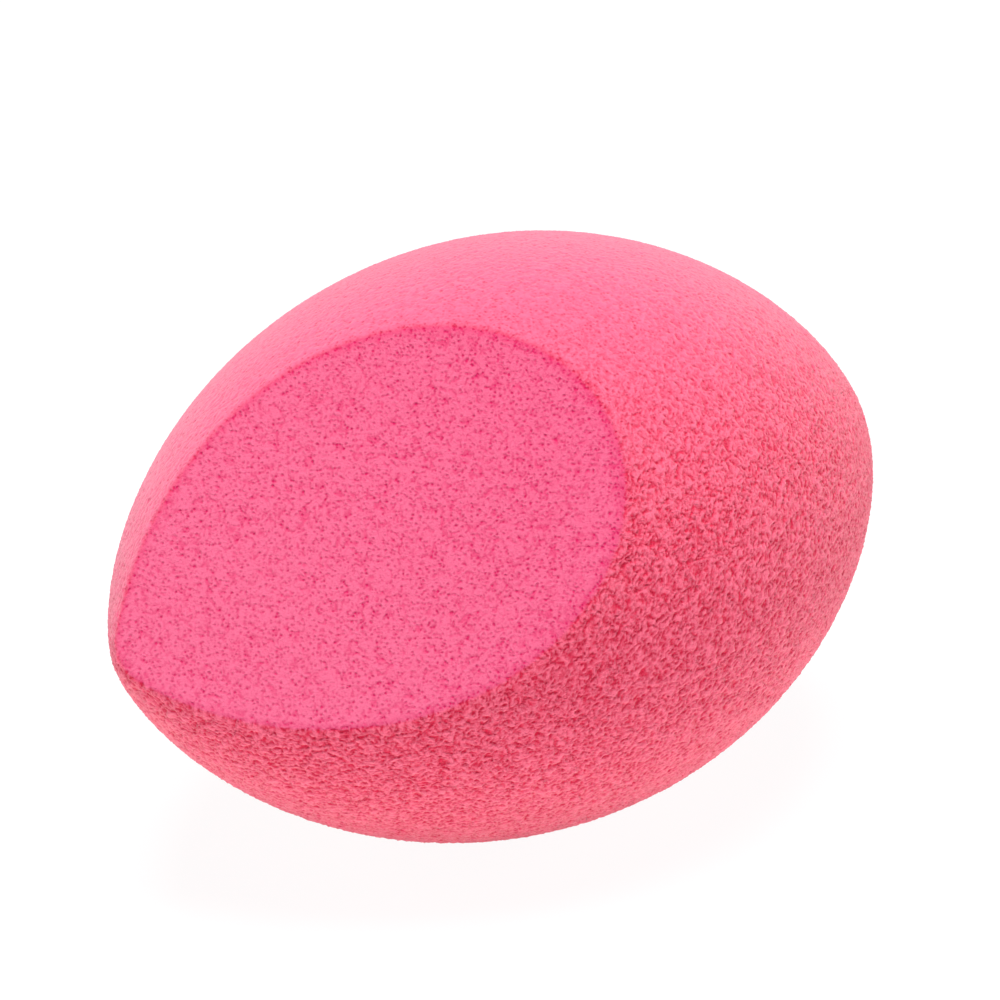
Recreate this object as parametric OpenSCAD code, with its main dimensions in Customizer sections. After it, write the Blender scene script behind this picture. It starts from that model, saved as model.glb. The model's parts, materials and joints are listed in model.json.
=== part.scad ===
// Makeup sponge: one block of soft foam, shaped like an olive and cut slantwise to a flat
// face at its heel. It lies on its side with its long axis along X and its tip towards +X.
// The origin is in the middle of the small flat that it lies on, under its widest place.

/* [Foam body] */
// Diameter at the widest place
body_d = 40; // [32:0.5:48]
// Distance along the axis from the widest place to the heel, the end that is cut
heel_len = 31.1; // [27:0.1:38]
// Distance along the axis from the widest place to the tip
tip_len = 28.9; // [27:0.1:38]
// Radius of the heel's blunt end
heel_nose_r = 3.8; // [2:0.1:8]
// Radius of the tip's blunt end
tip_nose_r = 10; // [4:0.1:12]

/* [Cut face] */
// Angle between the cut face and the long axis
cut_angle = 34.5; // [30:0.5:42]
// How far short of the heel the plane of the cut crosses the long axis
cut_before_heel = 0.2; // [0.1:0.05:1]

/* [Lie] */
// How far the cut face is turned about the long axis, from straight up towards the front
face_turn = 44; // [0:1:70]
// Depth of the flat where the foam gives under its own weight
rest_depth = 0.5; // [0.3:0.1:1]

/* [Hidden] */
$fn = 128;
// How far a shape that cuts or trims reaches past what it trims
overrun = 2;
// How much larger a blunt end's circle is than one that only touches the arc down the side
crossing = 0.002;
// Height of the long axis above the surface that the sponge lies on
axis_height = body_d / 2 - rest_depth;
// A block this long covers the whole sponge from any place on it
block_len = heel_len + tip_len + body_d + overrun;

// Radius of the long arc down a side. The arc runs parallel to the axis at the widest place
// and into the blunt end's arc without a corner, which together fix its radius.
function side_r(end_len, nose_r) =
    let (widest_r = body_d / 2, nose_centre = end_len - nose_r)
    (pow(widest_r, 2) + pow(nose_centre, 2) - pow(nose_r, 2)) / (2 * (widest_r - nose_r));

// Lengthwise section from the axis to the side, from the widest place to one end. The line
// through the centres of both arcs runs out to the point where one arc passes into the other.
module half_section(end_len, nose_r) {
    arc_r = side_r(end_len, nose_r);
    arc_x = body_d / 2 - arc_r;
    nose_centre = end_len - nose_r;
    lean = atan2(nose_centre, -arc_x);
    past_meeting = [
        arc_x + (arc_r + overrun) * cos(lean),
        (arc_r + overrun) * sin(lean)
    ];
    intersection() {
        translate([arc_x, 0])
            circle(r = arc_r);
        polygon([[0, 0], [0, nose_centre], past_meeting, [body_d, past_meeting[1]], [body_d, 0]]);
    }
    intersection() {
        translate([0, nose_centre])
            circle(r = nose_r + crossing);
        square([body_d, end_len + overrun]);
    }
}

// The moulded form before the cut, upright, with its widest place at the origin
module moulded_form() {
    rotate_extrude() {
        half_section(tip_len, tip_nose_r);
        mirror([0, 1])
            half_section(heel_len, heel_nose_r);
    }
}

// Everything on the outer side of the cut, whose plane runs from the heel up to the side
module cut_away() {
    translate([0, 0, cut_before_heel - heel_len])
        rotate([0, cut_angle, 0])
            translate([0, -block_len / 2, -block_len])
                cube([block_len, block_len, 2 * block_len]);
}

// Lays an upright shape on its side, tip towards +X, and turns it about the long axis
module laid(turn = 0) {
    translate([0, 0, axis_height])
        rotate([turn, 0, 0])
            rotate([0, 90, 0])
                children();
}

// Everything below the surface that the sponge lies on
module below_rest() {
    translate([-block_len, -block_len, -block_len])
        cube([2 * block_len, 2 * block_len, block_len]);
}

// The whole sponge, with its cut face turned to look up and forwards
module foam_body() {
    color("#F8668F")
        difference() {
            laid()
                moulded_form();
            laid(turn = 180 + face_turn)
                cut_away();
            below_rest();
        }
}

foam_body();
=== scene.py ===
import json

import bpy
import numpy as np
from mathutils import Matrix, Vector


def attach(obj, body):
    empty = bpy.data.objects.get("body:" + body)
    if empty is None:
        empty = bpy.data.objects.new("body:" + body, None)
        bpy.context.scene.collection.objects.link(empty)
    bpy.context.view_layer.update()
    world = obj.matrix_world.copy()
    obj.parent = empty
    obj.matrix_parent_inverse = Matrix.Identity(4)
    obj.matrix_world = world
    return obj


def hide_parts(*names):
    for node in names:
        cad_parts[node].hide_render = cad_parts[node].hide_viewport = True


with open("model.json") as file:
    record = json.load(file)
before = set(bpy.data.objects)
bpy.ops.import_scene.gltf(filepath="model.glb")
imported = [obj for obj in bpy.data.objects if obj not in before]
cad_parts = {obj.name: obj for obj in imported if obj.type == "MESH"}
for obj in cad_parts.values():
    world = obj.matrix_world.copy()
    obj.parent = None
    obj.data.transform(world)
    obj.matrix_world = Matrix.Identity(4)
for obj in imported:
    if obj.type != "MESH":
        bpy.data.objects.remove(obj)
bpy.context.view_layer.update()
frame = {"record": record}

# Camera
# The sponge is seen from its heel, a little from the left and from above, through a long lens,
# so that the cut face is nearly square to the view.

body_middle = Vector((0.0, 0.0, 0.0195))
seen_from_side = np.radians(-36.954)
seen_from_above = np.radians(25.901)
camera_distance = 0.5
aim_right, aim_up = -0.00027, 0.00232
sensor_width_mm, lens_mm = 36, 268.31
nearest_seen = 0.01


def way_towards(sideways, above):
    """Unit vector from the sponge to a place at an angle round it, from the front, and an angle
    above the floor. Its first two parts are the sine and the negative cosine of the angle round
    it, both times the cosine of the angle above, and its third is the sine of that one."""
    return Vector(
        (
            np.sin(sideways) * np.cos(above),
            -np.cos(sideways) * np.cos(above),
            np.sin(above),
        )
    )


to_camera = way_towards(seen_from_side, seen_from_above)
picture_right = Vector((0, 0, 1)).cross(to_camera).normalized()
picture_up = to_camera.cross(picture_right)

camera_data = bpy.data.cameras.new("camera")
camera_data.sensor_fit = "HORIZONTAL"
camera_data.sensor_width = sensor_width_mm
camera_data.lens = lens_mm
camera_data.clip_start = nearest_seen
camera = bpy.data.objects.new("camera", camera_data)
bpy.context.scene.collection.objects.link(camera)
camera_place = (
    body_middle + aim_right * picture_right + aim_up * picture_up + camera_distance * to_camera
)
camera.matrix_world = Matrix.Translation(camera_place) @ (
    Matrix((picture_right, picture_up, to_camera)).transposed().to_4x4()
)
bpy.context.scene.camera = camera

# Foam body
# The whole sponge is one block of soft polyurethane foam. It is foamed in a closed mould, which
# gives it a fine leathery skin, and its heel is cut off on a slant with one stroke of a blade,
# which opens the bubbles of the foam and leaves a flat, velvety face.

widest_r = 0.020
heel_len, tip_len = 0.0311, 0.0289
heel_nose_r, tip_nose_r = 0.0038, 0.010
cut_edge_round = 0.0004
rest_edge_round = 0.0006
rows_per_side = 380
stretch_along = 1.4

cut = next(m for m in frame["record"]["mounts"] if m["name"] == "cut_face")
cut_normal = np.array(cut["axis"])
middle = np.array(body_middle)
cut_distance = (np.array(cut["pos_m"]) - middle) @ cut_normal


def half_outline(end, nose_r, steps=4000):
    """Half of the lengthwise outline, from the widest place to one end: distances along the
    axis, and radii. A long arc that runs parallel to the axis at the widest place goes over,
    without a corner, into the small arc of the blunt end."""
    nose_centre = end - nose_r
    long_r = (widest_r**2 + nose_centre**2 - nose_r**2) / (2 * (widest_r - nose_r))
    lean = np.arctan2(nose_centre, long_r - widest_r)
    side = np.linspace(0, lean, steps)
    nose = np.linspace(lean, np.pi / 2, steps)[1:]
    along = np.concatenate([long_r * np.sin(side), nose_centre + nose_r * np.sin(nose)])
    out = np.concatenate([widest_r - long_r + long_r * np.cos(side), nose_r * np.cos(nose)])
    return along, out


def ball_grid(rows, margin=0.01):
    """A grid over a ball, from the six sides of a cube whose lines are spaced by equal angles.
    Gives unit directions, the four corners of each face, and a place on a flat map for every
    face corner, with the six sides in three columns and two rows and a margin round each.
    Corners that two or three sides share are one point."""
    line = np.arange(rows + 1)
    across, up = (g.ravel() for g in np.meshgrid(line, line, indexing="ij"))
    number = np.arange(len(across)).reshape(rows + 1, rows + 1)
    quad = np.stack(
        [number[:-1, :-1], number[1:, :-1], number[1:, 1:], number[:-1, 1:]], -1
    ).reshape(-1, 4)
    spot = np.stack([across, up], -1)[quad] / rows
    lattice, corners, charts = [], [], []
    for side in range(6):
        axis, far = side % 3, side < 3
        point = np.empty((len(across), 3), int)
        point[:, axis] = rows if far else 0
        point[:, (axis + 1) % 3] = across if far else up
        point[:, (axis + 2) % 3] = up if far else across
        corners.append(quad + side * len(across))
        lattice.append(point)
        charts.append((spot * (1 - 2 * margin) + margin + [side % 3, side // 3]) / [3, 2])
    lattice = np.concatenate(lattice)
    key = (lattice[:, 0] * (rows + 1) + lattice[:, 1]) * (rows + 1) + lattice[:, 2]
    _, first, same = np.unique(key, return_index=True, return_inverse=True)
    directions = np.tan((lattice[first] / rows - 0.5) * np.pi / 2)
    directions /= np.linalg.norm(directions, axis=1)[:, None]
    return directions, same[np.concatenate(corners)], np.concatenate(charts)


def soft_step(value, low, high):
    """Goes smoothly from 0 at the low value to 1 at the high one: three times the square of the
    share of the way, less twice its cube."""
    share = np.clip((value - low) / (high - low), 0, 1)
    return share * share * (3 - 2 * share)


def soft_least(a, b, blend):
    """The smaller of two lengths, with the corner between them rounded. Where they differ by
    less than a blend length, it is a mix of both, from one alone to the other alone. From the
    mix it takes the blend length, times the share of one, times the share of the other."""
    share = np.clip(0.5 + 0.5 * (b - a) / blend, 0, 1)
    return b + (a - b) * share - blend * share * (1 - share)


def plane_reach(facing, distance, least_facing=0.05, never=1.0):
    """How far a ray from the middle runs to a plane: the plane's distance over the cosine
    between the ray and the plane's normal. A ray that hardly faces the plane counts as never
    coming to it."""
    reach = distance / np.maximum(facing, least_facing)
    return np.where(facing > least_facing, reach, never)


def distance_out(directions):
    """Distance from the middle of the sponge to its surface along each direction: that of the
    moulded form, cut short by the plane of the cut and by the surface that it lies on. Also
    gives how far the moulded form would have stood proud of the cut."""
    tip_along, tip_out = half_outline(tip_len, tip_nose_r)
    heel_along, heel_out = half_outline(heel_len, heel_nose_r)
    along = np.concatenate([tip_along[::-1], -heel_along[1:]])
    out = np.concatenate([tip_out[::-1], heel_out[1:]])
    sideways = np.hypot(directions[:, 1], directions[:, 2])
    turn = np.arctan2(sideways, directions[:, 0])
    form = np.interp(turn, np.arctan2(out, along), np.hypot(along, out))
    to_cut = plane_reach(directions @ cut_normal, cut_distance)
    to_rest = plane_reach(-directions[:, 2], middle[2])
    whole = soft_least(soft_least(form, to_cut, cut_edge_round), to_rest, rest_edge_round)
    return whole, form - to_cut


def corner_values(cells, seed):
    """A number from 0 to 1 for each whole cell, the same each time, scattered by multiplying
    and folding its three indices."""
    n = cells.astype(np.int64).astype(np.uint64)
    mixed = n[..., 0] * np.uint64(73856093)
    mixed ^= n[..., 1] * np.uint64(19349663)
    mixed ^= n[..., 2] * np.uint64(83492791)
    mixed ^= np.uint64(seed * 2654435761)
    mixed ^= mixed >> np.uint64(29)
    mixed *= np.uint64(0xBF58476D1CE4E5B9)
    mixed ^= mixed >> np.uint64(32)
    return (mixed & np.uint64(0xFFFFFF)) / float(0xFFFFFF)


def lumps(points, spacing, seed):
    """Smooth random swellings from -1 to 1: each point blends the values of the eight corners
    of the cell that it is in, by smooth shares of the way across the cell."""
    place = points / spacing
    cell = np.floor(place)
    part = place - cell
    part = part * part * (3 - 2 * part)
    total = np.zeros(len(points))
    for step in np.ndindex(2, 2, 2):
        weight = np.prod(np.where(step, part, 1 - part), axis=1)
        total += weight * corner_values(cell + step, seed)
    return total * 2 - 1


def outward(points, corners):
    """Unit normals of a mesh of four-cornered faces: the cross product of each face's two
    diagonals, summed over the faces round each point."""
    across = points[corners[:, 2]] - points[corners[:, 0]]
    over = points[corners[:, 3]] - points[corners[:, 1]]
    normal = np.repeat(np.cross(across, over), 4, axis=0)
    total = np.stack(
        [np.bincount(corners.ravel(), normal[:, k], len(points)) for k in range(3)], -1
    )
    return total / np.linalg.norm(total, axis=1)[:, None]


directions, corners, charts = ball_grid(rows_per_side)
directions = directions * [stretch_along, 1, 1]
directions /= np.linalg.norm(directions, axis=1)[:, None]
reach, proud = distance_out(directions)
smooth = directions * reach[:, None]
facing = outward(smooth, corners)

# The crumbs of the foam are a fifth of a millimetre across. Their rows are bent and turned, so
# that none runs straight along an axis. A slow swell lies under them.
bend_size, bend_reach, bend_seed = 0.0005, 0.00022, 40
winding_size, winding_seed = 0.00022, 1
winding_level, winding_fall = 0.5, 1.8
crumb_size, crumb_seed = 0.00018, 2
swell_size, swell_seed = 0.0016, 3
patch_size, patch_seed = 0.00032, 5
leaning_angle, leaning_axis = 0.7, Vector((1, 2, 3))

leaning = np.array(Matrix.Rotation(leaning_angle, 3, leaning_axis))
bend = np.stack([lumps(smooth, bend_size, bend_seed + k) for k in range(3)], -1)
bent = smooth + bend * bend_reach
winding_lumps = lumps(bent @ leaning, winding_size, winding_seed)
winding = winding_level - winding_fall * np.abs(winding_lumps)
fine_crumb = lumps(bent, crumb_size, crumb_seed)
slow_swell = lumps(smooth, swell_size, swell_seed)

# The skin has winding crests with hollows between them. It is smoothest where it faces up and
# back, and most crumbled in front and below. The same share paints the skin a paler pink with
# less hollow shade where it faces up and back: painted haze of the light from above.
smooth_side = np.array([-0.05, 0.45, 0.89])
least_crumbled = 0.22
smooth_from, smooth_to = -0.92, 0.16
crumb_height, swell_height = 0.00009, 0.00001
fine_share, smooth_relief = 0.8, 0.2
least_hollow, most_hollow, hollow_level, hollow_fall = 0.12, 1.0, 0.4, 0.8

crumbled = least_crumbled + (1 - least_crumbled) * soft_step(
    -facing @ smooth_side, smooth_from, smooth_to
)
skin_crumb = winding + fine_share * fine_crumb
skin_relief = smooth_relief + (1 - smooth_relief) * crumbled
swell_under = swell_height * slow_swell
skin_height = crumb_height * skin_relief * skin_crumb + swell_under
skin_depth = hollow_level - least_hollow - hollow_fall * skin_crumb
skin_hollow = least_hollow + crumbled * np.clip(
    skin_depth, -least_hollow, most_hollow - least_hollow
)

# The cut face is flat between the small bubbles that the blade opened. Its colour deepens a
# little towards its edge nearest the tip.
bubble_depth, bubble_full, patch_share = 0.00006, 0.7, 0.3
tip_edge_way = np.array([0.83, -0.38, 0.40])
cut_half_width = 0.015
cut_tone, cut_tone_change, bubble_shade = 0.13, 0.08, 0.45

open_bubbles = fine_crumb + patch_share * lumps(bent, patch_size, patch_seed)
cut_bubble = soft_step(-open_bubbles, 0.0, bubble_full)
cut_height = swell_under - bubble_depth * cut_bubble
across_cut = (smooth - cut_distance * cut_normal) @ tip_edge_way / cut_half_width
# The opened bubbles are deepened towards the hollow colour: painted shade inside them.
cut_hollow = cut_tone + cut_tone_change * np.clip(across_cut, -1, 1) + bubble_shade * cut_bubble

# Skin and cut meet in a crumbled line. A deeper pink line runs just inside it, painted shade
# along the cut's edge, faintest where the skin is most crumbled.
edge_crumb, edge_blend = 0.00006, 0.00012
line_inset, line_width, edge_shade_tone, line_lost = 0.0001, 0.0002, 0.55, 0.7
cut_grain = 0.6

cut_share = soft_step(proud + edge_crumb * fine_crumb, -edge_blend, edge_blend)
painted_edge_shade = np.exp(-(((proud - line_inset) / line_width) ** 2)) * (1 - line_lost * crumbled)
swell = skin_height + (cut_height - skin_height) * cut_share
hollows = skin_hollow + (cut_hollow - skin_hollow) * cut_share + edge_shade_tone * painted_edge_shade
grain_share = crumbled + (cut_grain - crumbled) * cut_share

surface = smooth + facing * swell[:, None] + middle
surface[:, 2] = np.maximum(surface[:, 2], 0)

mesh = bpy.data.meshes.new("foam_sponge")
mesh.vertices.add(len(surface))
mesh.vertices.foreach_set("co", surface.ravel().astype(np.float32))
mesh.loops.add(corners.size)
mesh.loops.foreach_set("vertex_index", corners.ravel().astype(np.int32))
mesh.polygons.add(len(corners))
mesh.polygons.foreach_set("loop_start", np.arange(0, corners.size, 4, dtype=np.int32))
mesh.polygons.foreach_set("use_smooth", np.ones(len(corners), bool))
chart_map = mesh.uv_layers.new(name="OFBake")
chart_map.uv.foreach_set("vector", charts.reshape(-1).astype(np.float32))
layer_values = {"cut_share": cut_share, "hollows": hollows, "grain_share": grain_share}
for name, values in layer_values.items():
    layer = mesh.attributes.new(name, "FLOAT", "POINT")
    layer.data.foreach_set("value", values.astype(np.float32))
mesh.update(calc_edges=True)
mesh.validate()

foam_sponge = bpy.data.objects.new("foam_sponge", mesh)
bpy.context.scene.collection.objects.link(foam_sponge)
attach(foam_sponge, "root")
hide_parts("foam_body")

# The first skin pink is the paler one where the skin faces up and back: painted haze of the
# light from above.
top_haze_pink = (0.72, 0.144, 0.274, 1)
crumbled_pink = (0.86, 0.135, 0.229, 1)
cut_pink = (0.76, 0.127, 0.247, 1)
# The colours that hollows, pricks and the edge line are deepened towards: painted shade. On the
# cut the same colour also gives the face its overall deeper tone and its deepening towards the
# tip.
skin_hollow_shade = (0.75, 0.07, 0.24, 1)
cut_hollow_shade = (0.82, 0.04, 0.40, 1)
# A pale salmon added at a flat angle of view: painted sheen on the rims.
painted_rim_sheen = (0, 0.064, 0.034, 1)
foam_specular, foam_sheen, foam_sheen_roughness = 0.25, 0.12, 0.5


def feed(tree, socket, source):
    """Links an input to its source, or sets it where the source is a number or a colour."""
    if isinstance(source, bpy.types.NodeSocket):
        tree.links.new(source, socket)
    else:
        socket.default_value = source


def worked_out(tree, operation, *sources, clamp=False):
    """The result of a Math node on its sources."""
    node = tree.nodes.new("ShaderNodeMath")
    node.operation = operation
    node.use_clamp = clamp
    for socket, source in zip(node.inputs, sources):
        feed(tree, socket, source)
    return node.outputs["Value"]


def ranged(tree, value, start, end, low, high, curve="LINEAR"):
    """The result of a Map Range node, from low to high as the value goes from start to end."""
    node = tree.nodes.new("ShaderNodeMapRange")
    node.interpolation_type = curve
    sources = {"Value": value, "From Min": start, "From Max": end, "To Min": low, "To Max": high}
    for name, source in sources.items():
        feed(tree, node.inputs[name], source)
    return node.outputs["Result"]


def blended(tree, blend, share, first, second):
    """The result of a colour Mix node, the first colour at a share of 0."""
    node = tree.nodes.new("ShaderNodeMix")
    node.data_type = "RGBA"
    node.blend_type = blend
    for name, source in (("Factor", share), ("A", first), ("B", second)):
        feed(tree, node.inputs[name], source)
    return node.outputs["Result"]


def texture(tree, kind, place, **settings):
    """A texture node at a place, with its inputs set by name."""
    node = tree.nodes.new(kind)
    for name, value in settings.items():
        node.inputs[name].default_value = value
    tree.links.new(place, node.inputs["Vector"])
    return node


foam = bpy.data.materials.new("pink_foam")
foam.use_nodes = True
tree = foam.node_tree
tree.nodes.clear()
output = tree.nodes.new("ShaderNodeOutputMaterial")
shader = tree.nodes.new("ShaderNodeBsdfPrincipled")
shader.inputs["Specular IOR Level"].default_value = foam_specular
shader.inputs["Sheen Weight"].default_value = foam_sheen
shader.inputs["Sheen Roughness"].default_value = foam_sheen_roughness
shader.inputs["Sheen Tint"].default_value = (1, 1, 1, 1)
tree.links.new(shader.outputs["BSDF"], output.inputs["Surface"])

place = tree.nodes.new("ShaderNodeTexCoord").outputs["Object"]
layers = {}
for name in layer_values:
    layer = tree.nodes.new("ShaderNodeAttribute")
    layer.attribute_name = name
    layers[name] = layer.outputs["Fac"]

# The hollows of the mesh and of the fine grain together, 0 on a crest and 1 at a bottom. Pink
# light that is thrown to and fro in a hollow keeps its red and loses the rest, so the colour is
# deepened there towards a redder pink: painted shade of the hollows.
grains_per_metre = 6500
grain_middle, grain_in_hollow = 0.5, -1.1
grain = texture(
    tree, "ShaderNodeTexNoise", place, Scale=grains_per_metre, Detail=2, Roughness=0.6
)
grain_rise = worked_out(tree, "SUBTRACT", grain.outputs["Fac"], grain_middle)
shared_rise = worked_out(tree, "MULTIPLY", grain_rise, layers["grain_share"])
hollow = worked_out(
    tree, "MULTIPLY_ADD", shared_rise, grain_in_hollow, layers["hollows"], clamp=True
)

# Every few tenths of a millimetre a bubble of the foam is open, as a dark prick: painted shade
# inside the open bubble, with a little relief. The pricks are a little darker on the cut than in
# the skin.
bubbles_per_metre = 3300
prick_edge, prick_bottom = 0.46, 0.12
prick_in_skin, prick_in_cut, prick_in_hollow = 0.45, 0.6, 0.85
bubbles = texture(
    tree, "ShaderNodeTexVoronoi", place, Scale=bubbles_per_metre, Randomness=0.8
)
bubble = ranged(
    tree, bubbles.outputs["Distance"], prick_edge, prick_bottom, 0, 1, "SMOOTHSTEP"
)
prick_share = ranged(tree, layers["cut_share"], 0, 1, prick_in_skin, prick_in_cut)
prick = worked_out(tree, "MULTIPLY", bubble, prick_share)
pricked = worked_out(tree, "MULTIPLY_ADD", prick, prick_in_hollow, hollow, clamp=True)

skin_pink = blended(tree, "MIX", layers["grain_share"], top_haze_pink, crumbled_pink)
own_pink = blended(tree, "MIX", layers["cut_share"], skin_pink, cut_pink)
hollow_shade_colour = blended(
    tree, "MIX", layers["cut_share"], skin_hollow_shade, cut_hollow_shade
)

# Painted sheen in the base colour, by the angle of view. At a flat angle the crests hide the
# hollows behind them, so their painted shade fades, and their rims let light through, which is
# painted as a pale salmon added to the colour.
hide_from, hide_to, least_seen = 0.36, 0.95, 0.2
rim_from, rim_to = 0.42, 0.85
slant = tree.nodes.new("ShaderNodeLayerWeight")
slant.inputs["Blend"].default_value = 0.5
open_to_view = ranged(tree, slant.outputs["Facing"], hide_from, hide_to, 1, least_seen)
rim_light = ranged(tree, slant.outputs["Facing"], rim_from, rim_to, 0, 1)
seen_hollow = worked_out(tree, "MULTIPLY", pricked, open_to_view)
deepened = blended(tree, "MULTIPLY", seen_hollow, own_pink, hollow_shade_colour)
paled = blended(tree, "ADD", rim_light, deepened, painted_rim_sheen)
tree.links.new(paled, shader.inputs["Base Color"])

# The foam is matt, in slow mottles, and its grain and pricks stand in low relief.
mottles_per_metre = 260
least_rough, most_rough = 0.82, 0.98
relief_height, prick_relief = 0.0002, -0.4
mottle = texture(tree, "ShaderNodeTexNoise", place, Scale=mottles_per_metre, Detail=2)
roughness = ranged(tree, mottle.outputs["Fac"], 0, 1, least_rough, most_rough)
tree.links.new(roughness, shader.inputs["Roughness"])
relief = worked_out(tree, "MULTIPLY_ADD", prick, prick_relief, shared_rise)
bump = tree.nodes.new("ShaderNodeBump")
bump.inputs["Strength"].default_value = 1
bump.inputs["Distance"].default_value = relief_height
tree.links.new(relief, bump.inputs["Height"])
tree.links.new(bump.outputs["Normal"], shader.inputs["Normal"])
mesh.materials.append(foam)

# Floor
# A matt white table that glows a little, as one lit from below does, which lights the sponge's
# underside. It shows as the white of the background, with the sponge's soft shadow on it.

floor_half = 3.0
floor_drop = 0.00002
table_white = (0.92, 0.92, 0.92, 1)
table_glow_strength = 0.46
shown_white_share = 0.88

floor_mesh = bpy.data.meshes.new("floor")
floor_corners = [(-1, -1), (1, -1), (1, 1), (-1, 1)]
floor_mesh.from_pydata(
    [(x * floor_half, y * floor_half, 0) for x, y in floor_corners], [], [(0, 1, 2, 3)]
)
floor = bpy.data.objects.new("floor", floor_mesh)
floor.location.z = -floor_drop
bpy.context.scene.collection.objects.link(floor)


def shown_share(tree):
    """1 for a ray from the camera, from a gloss or through a clear surface, 0 for any other."""
    ray = tree.nodes.new("ShaderNodeLightPath").outputs
    either = worked_out(tree, "MAXIMUM", ray["Is Camera Ray"], ray["Is Glossy Ray"])
    return worked_out(tree, "MAXIMUM", either, ray["Is Transmission Ray"])


paper = bpy.data.materials.new("floor_paper")
paper.use_nodes = True
tree = paper.node_tree
tree.nodes.clear()
output = tree.nodes.new("ShaderNodeOutputMaterial")
matt = tree.nodes.new("ShaderNodeBsdfDiffuse")
matt.inputs["Color"].default_value = table_white
table_glow = tree.nodes.new("ShaderNodeEmission")
table_glow.inputs["Strength"].default_value = table_glow_strength
lit_table = tree.nodes.new("ShaderNodeAddShader")
tree.links.new(matt.outputs["BSDF"], lit_table.inputs[0])
tree.links.new(table_glow.outputs["Emission"], lit_table.inputs[1])
shown_white = tree.nodes.new("ShaderNodeEmission")
shown_white.inputs["Color"].default_value = (1, 1, 1, 1)
shown_white.inputs["Strength"].default_value = 1
white_share = worked_out(tree, "MULTIPLY", shown_share(tree), shown_white_share)
floor_mix = tree.nodes.new("ShaderNodeMixShader")
tree.links.new(white_share, floor_mix.inputs["Fac"])
tree.links.new(lit_table.outputs["Shader"], floor_mix.inputs[1])
tree.links.new(shown_white.outputs["Emission"], floor_mix.inputs[2])
tree.links.new(floor_mix.outputs["Shader"], output.inputs["Surface"])
floor_mesh.materials.append(paper)

# Light
# Four soft boxes light the sponge: a strong one almost straight above it, a weaker one in
# front, and one low down on each side, a little behind it. The room is dark, but shows as white.

world = bpy.data.worlds.new("dark_room")
bpy.context.scene.world = world
world.use_nodes = True
tree = world.node_tree
tree.nodes.clear()
output = tree.nodes.new("ShaderNodeOutputWorld")
room = tree.nodes.new("ShaderNodeBackground")
room.inputs["Color"].default_value = (1, 1, 1, 1)
room.inputs["Strength"].default_value = 0
backdrop = tree.nodes.new("ShaderNodeBackground")
backdrop.inputs["Color"].default_value = (1, 1, 1, 1)
backdrop.inputs["Strength"].default_value = 1
world_mix = tree.nodes.new("ShaderNodeMixShader")
tree.links.new(shown_share(tree), world_mix.inputs["Fac"])
tree.links.new(room.outputs["Background"], world_mix.inputs[1])
tree.links.new(backdrop.outputs["Background"], world_mix.inputs[2])
tree.links.new(world_mix.outputs["Shader"], output.inputs["Surface"])


def soft_box(name, sideways, above, distance, size, watts):
    """A square white lamp that faces the middle of the sponge. Its place is given by how far
    round from the camera's side it stands, its height as an angle, and its distance."""
    towards = way_towards(seen_from_side + np.radians(sideways), np.radians(above))
    data = bpy.data.lights.new(name, "AREA")
    data.shape = "SQUARE"
    data.size = size
    data.energy = watts
    lamp = bpy.data.objects.new(name, data)
    lamp.location = body_middle + distance * towards
    lamp.rotation_euler = towards.to_track_quat("Z", "Y").to_euler()
    bpy.context.scene.collection.objects.link(lamp)


soft_box("top_box", sideways=0, above=85, distance=0.6, size=0.35, watts=5.3)
soft_box("front_box", sideways=5, above=15, distance=0.8, size=0.4, watts=1.5)
soft_box("right_box", sideways=105, above=6, distance=0.6, size=0.35, watts=1.75)
soft_box("left_box", sideways=-110, above=14, distance=0.6, size=0.35, watts=1.1)

bpy.context.scene.view_settings.view_transform = "Standard"
